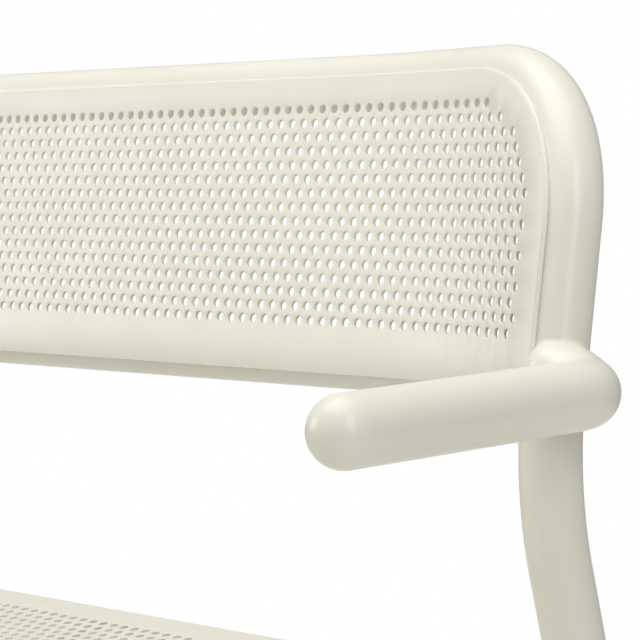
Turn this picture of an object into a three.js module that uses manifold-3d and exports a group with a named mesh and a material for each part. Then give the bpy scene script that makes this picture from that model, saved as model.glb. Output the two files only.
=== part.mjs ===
// Two-seat garden bench: a bent tube frame with perforated sheet panels for the back and the seat.
// Millimetres. X runs along the bench, Y from the front to the back, Z up from the floor.
// The sheets' holes are too small and too many for this model, so both panels are plain here.
import * as THREE from 'three';
import { mergeVertices } from 'three/addons/utils/BufferGeometryUtils.js';
import Module from 'manifold-3d';

const wasm = await Module();
wasm.setup();

// Stock sizes
const GAP = 0.3; // left between pieces that touch
const TUBE = 38; // outer diameter of the frame tube
const ARM_TUBE = 41; // outer diameter of the arm tube
const BRACE_TUBE = 25; // outer diameter of the tubes that carry the middle of the seat
const SHEET = 2; // thickness of both sheets
const TUBE_SIDES = 20; // facets round a tube
const BEND_STEP = 12; // degrees of bend that one facet along a tube takes
const SECTION_STEP = 22; // between sections of the bent parts of the back and the seat
const SECTION_MARGIN = 11; // least length of the last section before an end

// Back: a sheet on a ruled surface between two lines, each straight in the middle and
// bent forward at its ends. Lengths run along the surface, heights up its slope.
const BACK_HALF = 549; // from the middle of the bench to the axis of an upright
const BACK_SLOPE = 11.3; // degrees that the middle of the back leans away from the sitter
const BACK_HEIGHT = 143; // between the two lines, which are also the outer rows of holes
const UPPER_LINE = { straight: 328, radius: 570 };
const LOWER_LINE = { straight: 364, radius: 472 };
const UPPER_LINE_Y = 193.5;
const UPPER_LINE_Z = 804;
const RAIL_TOP_RISE = 22; // axis of the top rail above the upper line
const RAIL_LOW_DROP = 22; // axis of the low rail below the lower line
const PANEL_TOP_RISE = 22;
const PANEL_LOW_DROP = 34;
const PANEL_END_LAP = 6; // sheet beyond the axis of an upright
const BACK_CORNER = 93; // bend radius of the top corners at the tube's axis
const CORNER_TAIL = 10; // straight tube that each top corner keeps below its bend

// Rear legs: straight on from the uprights, then bent backwards
const LEG_BEND_Z = 578;
const LEG_BEND_RADIUS = 264;
const REAR_LEG_RAKE = 15.7; // degrees from upright, foot to the rear

// Seat: level from the front as far as Y = 0, then swept up in an arc towards the back.
// Behind Y = 0 a reach is a length along the arc of the sheet's top.
const SEAT_HEIGHT = 440; // top of the sheet's level part
const SEAT_SWEEP_RADIUS = 660;
const SEAT_REAR_REACH = 136.5; // above the axis of the rear rail
const SEAT_FRONT_Y = -297.8; // axis of the front rail
const SEAT_CORNER = 60; // bend radius of the front corners at the tube's axis
const SEAT_LAP = 6; // sheet beyond the axes of the rails round it
const SEAT_REAR_CORNER = 12; // radius of the sheet's rear corners
const BRACE_X = 185;
const FRONT_LEG_Y = -217.5; // where the front leg's axis meets the side rail's
const FRONT_LEG_RAKE = 10.5; // degrees from upright, foot to the front

// Arms
const ARM_OFFSET = 43; // axis of an arm outside the axis of its upright
const ARM_ELBOW = 35; // bend radius at the tube's axis
const ARM_END = 7; // end of an arm outside the axis of its upright
const ARM_REAR_Z = 633.5;
const ARM_FRONT_Z = 624;
const ARM_FRONT_Y = -73; // where the straight tube ends and its round cap begins

// Glides
const GLIDE_HEIGHT = 6;
const GLIDE_SIDES = 24;

const POWDER_COAT = { color: 0xe6e2d2, roughness: 0.42, metalness: 0 };
const GLIDE_PLASTIC = { color: 0x3b3b38, roughness: 0.7, metalness: 0 };

const SIDES = [
  { name: 'left', sign: -1 },
  { name: 'right', sign: 1 },
];
const TUBE_RADIUS = TUBE / 2;
const SHEET_TO_AXIS = SHEET + GAP + TUBE_RADIUS; // sheet's outer face to the tube's axis
const SEAT_RAIL_Z = SEAT_HEIGHT - SHEET_TO_AXIS;
const radians = THREE.MathUtils.degToRad;
const vector = (x, y, z) => new THREE.Vector3(x, y, z);

/** A path read only at chosen stations, so a straight run takes one step. */
class StationPath extends THREE.Curve {
  constructor(stations) {
    super();
    this.stations = stations;
  }

  steps() {
    return this.stations.length - 1;
  }

  station(t) {
    return this.stations[Math.round(t * this.steps())];
  }

  getPointAt(t) {
    return this.station(t).point.clone();
  }

  getTangentAt(t) {
    return this.station(t).tangent.clone();
  }
}

/** Stations along straight runs between corners, each inner corner rounded to one radius. */
function bentStations(corners, radius) {
  const direction = (i) => corners[i + 1].clone().sub(corners[i]).normalize();
  const stations = [{ point: corners[0], tangent: direction(0) }];
  for (let i = 1; i < corners.length - 1; i += 1) {
    const before = direction(i - 1);
    const after = direction(i);
    const turn = before.angleTo(after);
    const setback = radius * Math.tan(turn / 2);
    const start = corners[i].clone().addScaledVector(before, -setback);
    const inward = after.clone().sub(before).normalize();
    const centre = corners[i].clone().addScaledVector(inward, radius / Math.cos(turn / 2));
    const axis = before.clone().cross(after).normalize();
    const steps = Math.ceil(turn / radians(BEND_STEP));
    for (let k = 0; k <= steps; k += 1) {
      const angle = (turn * k) / steps;
      const point = start.clone().sub(centre).applyAxisAngle(axis, angle).add(centre);
      stations.push({ point, tangent: before.clone().applyAxisAngle(axis, angle) });
    }
  }
  const last = corners.length - 1;
  stations.push({ point: corners[last], tangent: direction(last - 1) });
  return stations;
}

/** A regular polygon that stands for a circle of the given radius. */
function roundShape(radius, sides) {
  const corner = (unused, i) => {
    const angle = (2 * Math.PI * (i + 0.5)) / sides;
    return new THREE.Vector2(radius * Math.cos(angle), radius * Math.sin(angle));
  };
  return new THREE.Shape(Array.from({ length: sides }, corner));
}

/** A solid round bar through the stations. */
function tube(stations, radius, sides = TUBE_SIDES) {
  const path = new StationPath(stations);
  const options = { steps: path.steps(), extrudePath: path };
  return new THREE.ExtrudeGeometry(roundShape(radius, sides), options);
}

function straightTube(start, end, radius, sides = TUBE_SIDES) {
  return tube(bentStations([start, end], 0), radius, sides);
}

/** A manifold-3d solid made from a closed three.js geometry. */
function solid(geometry) {
  const bare = geometry.clone();
  bare.deleteAttribute('normal');
  bare.deleteAttribute('uv');
  const merged = mergeVertices(bare, 1e-3);
  return new wasm.Manifold(new wasm.Mesh({
    numProp: 3,
    vertProperties: new Float32Array(merged.attributes.position.array),
    triVerts: new Uint32Array(merged.index.array),
  }));
}

/** The three.js geometry of a manifold-3d solid. */
function geometryOf(manifold) {
  const mesh = manifold.getMesh();
  const geometry = new THREE.BufferGeometry();
  geometry.setAttribute('position', new THREE.BufferAttribute(mesh.vertProperties, 3));
  geometry.setIndex(new THREE.BufferAttribute(mesh.triVerts, 1));
  geometry.computeVertexNormals();
  return geometry;
}

/** A piece with each of its neighbours cut away from it. */
function cutBy(piece, neighbours) {
  const cut = neighbours.reduce((rest, other) => rest.subtract(solid(other)), solid(piece));
  return geometryOf(cut);
}

/** A box from its lowest to its highest corner. */
function block(low, high) {
  const size = high.clone().sub(low);
  const centre = low.clone().add(high).multiplyScalar(0.5);
  return new THREE.BoxGeometry(size.x, size.y, size.z).translate(centre.x, centre.y, centre.z);
}

// ---- The back's surface ----

/** Plan of a line that is straight in the middle and bends forward at its ends. */
function planPoint(s, line) {
  const turn = Math.max(Math.abs(s) - line.straight, 0) / line.radius;
  const reach = Math.min(Math.abs(s), line.straight) + line.radius * Math.sin(turn);
  return { x: Math.sign(s) * reach, y: -line.radius * (1 - Math.cos(turn)) };
}

/** Point on the sheet's front face: s along it from the middle, h up it from the lower line. */
function facePoint(s, h) {
  const slope = radians(BACK_SLOPE);
  const upper = planPoint(s, UPPER_LINE);
  const lower = planPoint(s, LOWER_LINE);
  const lowerY = lower.y - BACK_HEIGHT * Math.sin(slope);
  const part = h / BACK_HEIGHT;
  return vector(
    THREE.MathUtils.lerp(lower.x, upper.x, part),
    UPPER_LINE_Y + THREE.MathUtils.lerp(lowerY, upper.y, part),
    UPPER_LINE_Z + (h - BACK_HEIGHT) * Math.cos(slope),
  );
}

/** Point behind the sheet's front face by the given depth, square to the face. */
function backPoint(s, h, depth) {
  const along = facePoint(s + 1, h).sub(facePoint(s - 1, h));
  const up = facePoint(s, h + 1).sub(facePoint(s, h - 1));
  const backward = up.cross(along).normalize();
  return facePoint(s, h).addScaledVector(backward, depth);
}

/** Arc lengths at which a part of the back is sectioned, from one end to the other. */
function backSections(end) {
  const outward = [];
  for (let s = UPPER_LINE.straight; s < end - SECTION_MARGIN; s += SECTION_STEP) {
    outward.push(s);
  }
  outward.push(end);
  return [...outward.map((s) => -s).reverse(), ...outward];
}

/** Stations of a tube behind the sheet that follows a track of (s, h) points. */
function trackStations(track) {
  const place = ([s, h]) => backPoint(s, h, SHEET_TO_AXIS);
  return track.map((spot, i) => {
    const next = place(track[Math.min(i + 1, track.length - 1)]);
    const last = place(track[Math.max(i - 1, 0)]);
    const ahead = next.clone().sub(place(spot));
    const behind = place(spot).sub(last);
    const tangent = ahead.normalize().add(behind.normalize()).normalize();
    return { point: place(spot), tangent };
  });
}

/** Axis point of an upright: h up the slope of the back. */
function uprightPoint(sign, h) {
  return backPoint(sign * BACK_HALF, h, SHEET_TO_AXIS);
}

const RAIL_TOP_H = BACK_HEIGHT + RAIL_TOP_RISE;
const CORNER_END_H = RAIL_TOP_H - BACK_CORNER - CORNER_TAIL;

/** Top rail with both rounded corners and the short straight tails below them. */
function topRail() {
  const inner = BACK_HALF - BACK_CORNER;
  const corner = [];
  for (let angle = BEND_STEP / 2; angle < 90; angle += BEND_STEP) {
    const s = inner + BACK_CORNER * Math.sin(radians(angle));
    corner.push([s, RAIL_TOP_H - BACK_CORNER * (1 - Math.cos(radians(angle)))]);
  }
  const tail = [[BACK_HALF, RAIL_TOP_H - BACK_CORNER], [BACK_HALF, CORNER_END_H]];
  const right = [...corner, ...tail];
  const left = right.map(([s, h]) => [-s, h]).reverse();
  const middle = backSections(inner).map((s) => [s, RAIL_TOP_H]);
  return tube(trackStations([...left, ...middle, ...right]), TUBE_RADIUS);
}

/** Low rail, coped at both ends to fit round the uprights. */
function lowRail() {
  const track = backSections(BACK_HALF).map((s) => [s, -RAIL_LOW_DROP]);
  return cutBy(tube(trackStations(track), TUBE_RADIUS), SIDES.map(({ sign }) => rearLegCutter(sign)));
}

/** Back sheet: round at its top corners and square at its low ones. */
function backPanel() {
  const end = BACK_HALF + PANEL_END_LAP;
  const round = BACK_CORNER + PANEL_END_LAP;
  const inner = end - round;
  const top = BACK_HEIGHT + PANEL_TOP_RISE;
  const topAt = (s) => {
    const over = Math.max(Math.abs(s) - inner, 0);
    return top - round + Math.sqrt(Math.max(round * round - over * over, 0));
  };
  const corner = [];
  for (let angle = BEND_STEP; angle <= 90; angle += BEND_STEP / 2) {
    corner.push(inner + round * Math.sin(radians(angle)));
  }
  const sections = [...corner.map((s) => -s).reverse(), ...backSections(inner), ...corner];
  const position = [];
  sections.forEach((s) => {
    [[-PANEL_LOW_DROP, 0], [topAt(s), 0], [topAt(s), SHEET], [-PANEL_LOW_DROP, SHEET]].forEach(
      ([h, depth]) => position.push(...backPoint(s, h, depth).toArray()),
    );
  });
  return loftOfFourCornered(position, sections.length);
}

/** Closed solid through four-cornered sections that follow each other. */
function loftOfFourCornered(position, count) {
  const corners = 4;
  const index = [];
  for (let i = 0; i < count - 1; i += 1) {
    for (let k = 0; k < corners; k += 1) {
      const a = i * corners + k;
      const b = i * corners + ((k + 1) % corners);
      index.push(a, a + corners, b, b, a + corners, b + corners);
    }
  }
  const last = (count - 1) * corners;
  index.push(0, 1, 2, 0, 2, 3);
  index.push(last, last + 2, last + 1, last, last + 3, last + 2);
  const geometry = new THREE.BufferGeometry();
  geometry.setAttribute('position', new THREE.Float32BufferAttribute(position, 3));
  geometry.setIndex(index);
  geometry.computeVertexNormals();
  return geometry;
}

// ---- Legs ----

/** Point on an upright's axis, or on the same line carried on, at the given height. */
function uprightAtHeight(sign, z) {
  const low = uprightPoint(sign, 0);
  const high = uprightPoint(sign, CORNER_END_H);
  return low.clone().lerp(high, (z - low.z) / (high.z - low.z));
}

/** Axis corners of a rear leg, from the joint below the top corner to below the floor. */
function rearLegCorners(sign) {
  const joint = uprightPoint(sign, CORNER_END_H - GAP);
  const bend = uprightAtHeight(sign, LEG_BEND_Z);
  const below = LEG_BEND_Z + TUBE;
  const foot = vector(bend.x, bend.y + below * Math.tan(radians(REAR_LEG_RAKE)), -TUBE);
  return [joint, bend, foot];
}

/** Everything below the underside of a leg, where its glide begins. */
function floorCutter() {
  const reach = 2 * BACK_HALF;
  return block(vector(-reach, -reach, -reach), vector(reach, reach, GLIDE_HEIGHT + GAP));
}

/** A rear leg as a full round bar, before its foot is cut level. */
function rearLegTube(sign, radius) {
  return tube(bentStations(rearLegCorners(sign), LEG_BEND_RADIUS), radius);
}

function rearLeg(sign) {
  return cutBy(rearLegTube(sign, TUBE_RADIUS), [floorCutter()]);
}

/** The shape that tubes which meet a rear leg are coped to: the leg, larger by the gap. */
function rearLegCutter(sign) {
  return rearLegTube(sign, TUBE_RADIUS + GAP);
}

/** X of the legs, the side rails and the uprights at seat level. */
function legX(sign) {
  return rearLegCorners(sign)[1].x;
}

function frontLegFoot(sign, z) {
  const forward = (SEAT_RAIL_Z - z) * Math.tan(radians(FRONT_LEG_RAKE));
  return vector(legX(sign), FRONT_LEG_Y - forward, z);
}

/** Front leg, coped at its top to the undersides of the rails that meet there. */
function frontLeg(sign) {
  const top = vector(legX(sign), FRONT_LEG_Y, SEAT_RAIL_Z);
  const leg = straightTube(top, frontLegFoot(sign, -TUBE), TUBE_RADIUS);
  const radius = TUBE_RADIUS + GAP;
  return cutBy(leg, [floorCutter(), sideRailTube(sign, radius), frontRailTube(radius)]);
}

/** Round glide of one foot, flat on the floor. */
function glide(x, y) {
  const disc = new THREE.CylinderGeometry(TUBE_RADIUS, TUBE_RADIUS - 1.5, GLIDE_HEIGHT, GLIDE_SIDES);
  return disc.rotateX(Math.PI / 2).translate(x, y, GLIDE_HEIGHT / 2);
}

/** Y of a rear leg's axis at a height below its bend. */
function rearLegY(sign, z) {
  const [, bend, foot] = rearLegCorners(sign);
  return THREE.MathUtils.mapLinear(z, bend.z, foot.z, bend.y, foot.y);
}

// ---- Seat ----

/** Point under the seat sheet's top by the given depth, square to it. */
function seatPoint(x, reach, depth) {
  const angle = Math.max(reach, 0) / SEAT_SWEEP_RADIUS;
  const radius = SEAT_SWEEP_RADIUS + depth;
  const y = Math.min(reach, 0) + radius * Math.sin(angle);
  return vector(x, y, SEAT_HEIGHT + SEAT_SWEEP_RADIUS - radius * Math.cos(angle));
}

/** Reaches at which a part of the seat is sectioned, from its front to its rear end. */
function seatSections(front, rear) {
  const sections = [front];
  for (let reach = 0; reach < rear - SECTION_MARGIN; reach += SECTION_STEP) {
    sections.push(reach);
  }
  return [...sections, rear];
}

/** Round bar that follows the underside of the seat sheet from front to rear. */
function underSeatTube(x, front, rear, depth, radius) {
  const stations = seatSections(front, rear).map((reach) => {
    const angle = Math.max(reach, 0) / SEAT_SWEEP_RADIUS;
    return { point: seatPoint(x, reach, depth), tangent: vector(0, Math.cos(angle), Math.sin(angle)) };
  });
  return tube(stations, radius);
}

const SEAT_FRONT_BEND_Y = SEAT_FRONT_Y + SEAT_CORNER;

/** Side rail as a full round bar that ends on the axis of the rear leg. */
function sideRailTube(sign, radius) {
  const legY = rearLegY(sign, SEAT_HEIGHT);
  const rear = SEAT_SWEEP_RADIUS * Math.asin(legY / (SEAT_SWEEP_RADIUS + SHEET_TO_AXIS));
  return underSeatTube(legX(sign), SEAT_FRONT_BEND_Y + GAP, rear, SHEET_TO_AXIS, radius);
}

function sideRail(sign) {
  return cutBy(sideRailTube(sign, TUBE_RADIUS), [rearLegCutter(sign)]);
}

/** Front rail with both rounded corners, ending where the side rails begin. */
function frontRailTube(radius) {
  const x = legX(1);
  const corners = [
    vector(-x, SEAT_FRONT_BEND_Y, SEAT_RAIL_Z),
    vector(-x, SEAT_FRONT_Y, SEAT_RAIL_Z),
    vector(x, SEAT_FRONT_Y, SEAT_RAIL_Z),
    vector(x, SEAT_FRONT_BEND_Y, SEAT_RAIL_Z),
  ];
  const stations = bentStations(corners, SEAT_CORNER);
  return tube(stations.slice(1, -1), radius);
}

/** Straight rear rail from leg to leg, before its ends are coped. */
function rearRailTube(radius) {
  const end = (sign) => seatPoint(legX(sign), SEAT_REAR_REACH, SHEET_TO_AXIS);
  return straightTube(end(-1), end(1), radius);
}

/** Rear rail between the side rails, coped to them at both ends. */
function rearRail() {
  const sideRails = SIDES.map(({ sign }) => sideRailTube(sign, TUBE_RADIUS + GAP));
  return cutBy(rearRailTube(TUBE_RADIUS), sideRails);
}

/** Brace from the front rail to the rear rail, its top level with theirs. */
function seatBrace(sign) {
  const depth = SHEET + GAP + BRACE_TUBE / 2;
  const bar = underSeatTube(sign * BRACE_X, SEAT_FRONT_Y, SEAT_REAR_REACH, depth, BRACE_TUBE / 2);
  const radius = TUBE_RADIUS + GAP;
  return cutBy(bar, [frontRailTube(radius), rearRailTube(radius)]);
}

/** How far a rounded corner takes the sheet's side in, at a distance from the edge. */
function cornerInset(distance, radius) {
  const left = Math.max(radius - distance, 0);
  return radius - Math.sqrt(radius * radius - left * left);
}

/** Seat sheet, laid on its rails, with round front corners and small rear ones. */
function seatPanel() {
  const front = SEAT_FRONT_Y - SEAT_LAP;
  const rear = SEAT_REAR_REACH + SEAT_LAP;
  const round = SEAT_CORNER + SEAT_LAP;
  const small = SEAT_REAR_CORNER;
  const frontCorner = [];
  const rearCorner = [];
  for (let angle = 0; angle <= 90; angle += BEND_STEP) {
    frontCorner.push(front + round * (1 - Math.cos(radians(angle))));
    rearCorner.push(rear - small * (1 - Math.sin(radians(angle))));
  }
  const middle = seatSections(front + round, rear - small).slice(1, -1);
  const sections = [...frontCorner, ...middle, ...rearCorner, rear];
  const position = [];
  sections.forEach((reach) => {
    const inset = cornerInset(reach - front, round) + cornerInset(rear - reach, small);
    const x = legX(1) + SEAT_LAP - inset;
    [[x, 0], [-x, 0], [-x, SHEET], [x, SHEET]].forEach(
      ([side, depth]) => position.push(...seatPoint(side, reach, depth).toArray()),
    );
  });
  return loftOfFourCornered(position, sections.length);
}

// ---- Arms ----

/** Axis corners of an arm: its front end, its elbow and its end beside the upright. */
function armCorners(sign) {
  const upright = uprightAtHeight(sign, ARM_REAR_Z);
  const x = upright.x + sign * ARM_OFFSET;
  const end = upright.clone().add(vector(sign * ARM_END, 0, 0));
  return [vector(x, ARM_FRONT_Y, ARM_FRONT_Z), vector(x, upright.y, ARM_REAR_Z), end];
}

/** Arm tube, coped at its rear end to the outer side of the upright. */
function arm(sign) {
  const stations = bentStations(armCorners(sign), ARM_ELBOW);
  return cutBy(tube(stations, ARM_TUBE / 2), [rearLegCutter(sign)]);
}

/** Round cap that closes the front end of an arm. */
function armCap(sign) {
  const radius = ARM_TUBE / 2;
  const profile = [new THREE.Vector2(0, GAP)];
  const steps = 6;
  for (let i = 0; i <= steps; i += 1) {
    const angle = (Math.PI / 2) * (i / steps);
    const out = i === steps ? 0 : radius * Math.cos(angle);
    profile.push(new THREE.Vector2(out, GAP + radius * Math.sin(angle)));
  }
  const [front, elbow] = armCorners(sign);
  const forward = front.clone().sub(elbow).normalize();
  const turn = new THREE.Quaternion().setFromUnitVectors(vector(0, 1, 0), forward);
  const dome = new THREE.LatheGeometry(profile, TUBE_SIDES).applyQuaternion(turn);
  return dome.translate(front.x, front.y, front.z);
}

// ---- Assembly ----

const bench = new THREE.Group();

function add(name, geometry, finish = POWDER_COAT) {
  const mesh = new THREE.Mesh(geometry, new THREE.MeshStandardMaterial(finish));
  mesh.name = name;
  bench.add(mesh);
}

add('back_rail_top', topRail());
add('back_rail_low', lowRail());
add('back_panel', backPanel());
add('seat_rail_front', frontRailTube(TUBE_RADIUS));
add('seat_rail_rear', rearRail());
add('seat_panel', seatPanel());
SIDES.forEach(({ name, sign }) => {
  add(`rear_leg_${name}`, rearLeg(sign));
  add(`front_leg_${name}`, frontLeg(sign));
  add(`seat_rail_${name}`, sideRail(sign));
  add(`seat_brace_${name}`, seatBrace(sign));
  add(`arm_${name}`, arm(sign));
  add(`arm_cap_${name}`, armCap(sign));
  add(`glide_rear_${name}`, glide(legX(sign), rearLegY(sign, GLIDE_HEIGHT)), GLIDE_PLASTIC);
  add(`glide_front_${name}`, glide(legX(sign), frontLegFoot(sign, GLIDE_HEIGHT).y), GLIDE_PLASTIC);
});

export default bench;
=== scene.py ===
# Two-seat garden bench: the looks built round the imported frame. Metres, +Z up.
# The bent tubes, the perforated sheets and the weld beads are fine meshes that stand for the
# faceted CAD nodes. Sizes come from the frame's boxes and from the driving dimensions below.
import math

import bmesh
import bpy
import numpy as np
from mathutils import Matrix, Vector, geometry


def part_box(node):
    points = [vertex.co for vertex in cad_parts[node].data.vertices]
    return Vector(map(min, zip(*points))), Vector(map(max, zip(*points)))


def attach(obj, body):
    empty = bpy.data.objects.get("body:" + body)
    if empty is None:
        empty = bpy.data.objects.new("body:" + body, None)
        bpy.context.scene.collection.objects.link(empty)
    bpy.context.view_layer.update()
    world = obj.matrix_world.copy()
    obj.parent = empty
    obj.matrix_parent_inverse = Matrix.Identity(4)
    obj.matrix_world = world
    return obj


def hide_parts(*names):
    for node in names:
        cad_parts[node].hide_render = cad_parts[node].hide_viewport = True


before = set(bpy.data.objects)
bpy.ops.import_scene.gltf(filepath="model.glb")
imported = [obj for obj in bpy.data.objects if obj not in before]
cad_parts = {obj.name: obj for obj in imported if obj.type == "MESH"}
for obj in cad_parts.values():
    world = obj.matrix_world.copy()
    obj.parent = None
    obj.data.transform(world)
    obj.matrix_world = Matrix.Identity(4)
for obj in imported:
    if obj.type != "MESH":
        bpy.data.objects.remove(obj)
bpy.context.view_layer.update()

# ---- Driving dimensions ----

SHEET = 0.002  # thickness of both sheets in the frame
SHEET_DEPTH = 0.0026  # of the looks, which bed a little into the tubes and close the gap
GAP = 0.0003  # left in the frame between pieces that touch
PITCH = 0.011  # between neighbouring holes of a row
ROW_PITCH = PITCH * math.sqrt(3) / 2
HOLE_RADIUS = 0.00315
HOLE_REACH = 48 * PITCH  # last hole of a full row, from the middle of the bench
HOLE_MARGIN = 0.0195  # least distance from a hole's centre to a rounded corner's edge

# The back is a ruled surface between two lines, each straight in the middle, then an arc.
BACK_HALF = 0.549
BACK_SLOPE = math.radians(11.3)
BACK_HEIGHT = 0.143
BACK_ROWS = 16
UPPER_LINE = (0.328, 0.570)  # half of the straight part, radius of the bent ends
LOWER_LINE = (0.364, 0.472)
UPPER_LINE_Y = 0.1935
RAIL_TOP_RISE = 0.022
RAIL_LOW_DROP = 0.022
PANEL_TOP_RISE = 0.022
PANEL_LOW_DROP = 0.034
PANEL_END_LAP = 0.006
BACK_CORNER = 0.093
CORNER_TAIL = 0.010

LEG_BEND_RADIUS = 0.264
LEG_BEND_DROP = 0.226  # of the legs' bend below the upper line
REAR_LEG_RAKE = math.radians(15.7)
FRONT_LEG_RAKE = math.radians(10.5)

SEAT_SWEEP_RADIUS = 0.660
SEAT_REAR_REACH = 0.1365
SEAT_CORNER = 0.060
SEAT_LAP = 0.006
SEAT_REAR_CORNER = 0.012
SEAT_REAR_MARGIN = 0.0255  # from the seat's rear edge to its first row of holes
SEAT_ROWS = 42
BRACE_X = 0.185
BRACE_RADIUS = 0.0125

ARM_ELBOW = 0.035
ARM_END = 0.007
ARM_REAR_DROP = 0.1705  # of the arm's elbow below the upper line
ARM_FRONT_DROP = 0.180

LIP = 0.0004  # roundness of the back sheet's edges and of its holes' edges
SEAM_RADIUS = 0.0013  # of the fine weld that closes the sheet's edge onto the tube
BEAD_RADIUS = 0.0026  # of the plain welds between tubes
WELD_SUNK = 0.0001  # how far a weld's mesh lies inside the tubes beyond its bead
ARM_WELD_TURN = (30, 62)  # degrees round the upright, from its outer side to its front
ARM_WELD_RISE = 0.0115  # of the lump's middle line above the arm's axis
ARM_WELD_OUT = 0.0155  # of that line from the upright's axis
ARM_WELD_RADIUS = 0.0115
ARM_WELD_REACH = 0.056  # from the joint's middle to where the weld's mesh ends inside the tubes
ARM_WELD_SHIFT = 0.012  # of that middle from the upright's axis, outward and forward
ARM_WELD_FILLET = 0.018  # between the lump and the arm
TUBE_FILLET = 0.004  # between the lump and the upright
WELD_STEP = 0.0014  # grid that the welds are meshed on

# Sizes read from the frame
GLIDE_LOW, GLIDE_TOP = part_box("glide_rear_right")
TUBE_RADIUS = (GLIDE_TOP.x - GLIDE_LOW.x) / 2
GLIDE_HEIGHT = GLIDE_TOP.z
LEG_X = (GLIDE_TOP.x + GLIDE_LOW.x) / 2
CAP_LOW, CAP_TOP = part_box("arm_cap_right")
ARM_RADIUS = (CAP_TOP.x - CAP_LOW.x) / 2
ARM_X = (CAP_TOP.x + CAP_LOW.x) / 2
ARM_FRONT_Y = CAP_LOW.y + ARM_RADIUS
SEAT_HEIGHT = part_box("seat_panel")[0].z + SHEET
SEAT_FRONT_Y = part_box("seat_panel")[0].y + SEAT_LAP
FRONT_GLIDE_LOW, FRONT_GLIDE_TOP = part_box("glide_front_right")
FRONT_FOOT_Y = (FRONT_GLIDE_LOW.y + FRONT_GLIDE_TOP.y) / 2
UPPER_LINE_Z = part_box("back_panel")[1].z - PANEL_TOP_RISE * math.cos(BACK_SLOPE)
SHEET_TO_AXIS = SHEET + GAP + TUBE_RADIUS
RAIL_TOP_H = BACK_HEIGHT + RAIL_TOP_RISE
CORNER_END_H = RAIL_TOP_H - BACK_CORNER - CORNER_TAIL

TUBE_SIDES = 72
SAMPLE = 0.006  # between stations along a bent tube
SIDES = {"left": -1, "right": 1}

# Looks
COAT_PALE, COAT_DEEP = (0.800, 0.777, 0.668), (0.770, 0.748, 0.640)
# The sheets carry the tubes' same powder coat painted a shade darker: painted shade that tones down the
# stronger front light falling on the sheets.
SHEET_SHADED_PALE, SHEET_SHADED_DEEP = (0.765, 0.744, 0.641), (0.740, 0.718, 0.616)
FLOOR_RADIUS = 2.3
FLOOR_FADE = (1.1, 2.2)  # where the floor starts and ends melting into white
LENS = 145.25
CAMERA_PLACE = (1.5425, -1.0201, 0.7479)
CAMERA_DOWN, CAMERA_LEFT = 2.81, 45.54  # degrees below level, and from facing the back


# ---- Mesh helpers ----

def piece(name, mesh, material, slot, *nodes):
    """Puts a mesh into the scene as a piece on the bench's one body, in place of CAD nodes."""
    made = bpy.data.objects.new(name, mesh)
    bpy.context.scene.collection.objects.link(made)
    mesh.materials.clear()
    mesh.materials.append(material)
    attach(made, "root")
    if nodes:
        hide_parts(*nodes)
    return made


def mesh_of(name, points, faces, sharp_angle=math.radians(40)):
    """A smooth-shaded mesh whose edges stay sharp past an angle."""
    mesh = bpy.data.meshes.new(name)
    mesh.from_pydata(np.asarray(points).tolist(), [], faces)
    finish_mesh(mesh, sharp_angle)
    return mesh


def finish_mesh(mesh, sharp_angle):
    bm = bmesh.new()
    bm.from_mesh(mesh)
    bmesh.ops.recalc_face_normals(bm, faces=bm.faces)
    for face in bm.faces:
        face.smooth = True
    for edge in bm.edges:
        edge.smooth = edge.calc_face_angle(0) < sharp_angle
    bm.to_mesh(mesh)
    bm.free()
    mesh.update()


def unit(vectors):
    vectors = np.asarray(vectors, float)
    return vectors / np.maximum(np.linalg.norm(vectors, axis=-1, keepdims=True), 1e-12)


def tangents_of(axis):
    return unit(np.gradient(axis, axis=0))


def frames_along(axis):
    """Two directions square to the axis at each station, carried along without twist."""
    tangents = tangents_of(axis)
    side = unit(np.cross(tangents[0], (0.0, 0.0, 1.0) if abs(tangents[0][2]) < 0.9 else (0.0, 1.0, 0.0)))
    sides = [side]
    for tangent in tangents[1:]:
        side = unit(side - tangent * np.dot(side, tangent))
        sides.append(side)
    sides = np.array(sides)
    return sides, np.cross(tangents, sides)


def sweep(name, axis, radius, sides=TUBE_SIDES):
    """A closed round bar along an axis. A list of radii shapes it, and a radius of 0 closes an end."""
    axis = np.asarray(axis, float)
    radii = np.broadcast_to(np.asarray(radius, float), (len(axis),))
    u, v = frames_along(axis)
    angles = np.linspace(0, 2 * math.pi, sides, endpoint=False)
    ring = (np.cos(angles)[None, :, None] * u[:, None] + np.sin(angles)[None, :, None] * v[:, None])
    points = (axis[:, None] + ring * radii[:, None, None]).reshape(-1, 3)
    faces = []
    for i in range(len(axis) - 1):
        for k in range(sides):
            n = (k + 1) % sides
            faces.append((i * sides + k, i * sides + n, (i + 1) * sides + n, (i + 1) * sides + k))
    last = (len(axis) - 1) * sides
    faces.append(tuple(range(sides - 1, -1, -1)))
    faces.append(tuple(range(last, last + sides)))
    return mesh_of(name, points, faces)


def rounded_path(corners, radius, sample=SAMPLE):
    """Points along straight runs between corners, each inner corner rounded to one radius."""
    corners = [Vector(c) for c in corners]
    points = [corners[0]]
    for before, corner, after in zip(corners, corners[1:], corners[2:]):
        into, out = (corner - before).normalized(), (after - corner).normalized()
        turn = into.angle(out)
        setback = radius * math.tan(turn / 2)
        centre = corner + (out - into).normalized() * (radius / math.cos(turn / 2))
        start, normal = corner - into * setback - centre, into.cross(out).normalized()
        steps = max(6, math.ceil(turn * radius / sample))
        for k in range(steps + 1):
            angle = turn * k / steps
            turned = start * math.cos(angle) + normal.cross(start) * math.sin(angle)
            points.append(centre + turned)
    points.append(corners[-1])
    return np.array([tuple(p) for p in points])


def refined(axis, sample):
    """The same line with stations no further apart than the sample length."""
    axis = np.asarray(axis, float)
    points = [axis[0]]
    for start, end in zip(axis, axis[1:]):
        steps = max(1, math.ceil(np.linalg.norm(end - start) / sample))
        for k in range(1, steps + 1):
            points.append(start + (end - start) * k / steps)
    return np.array(points)


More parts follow.
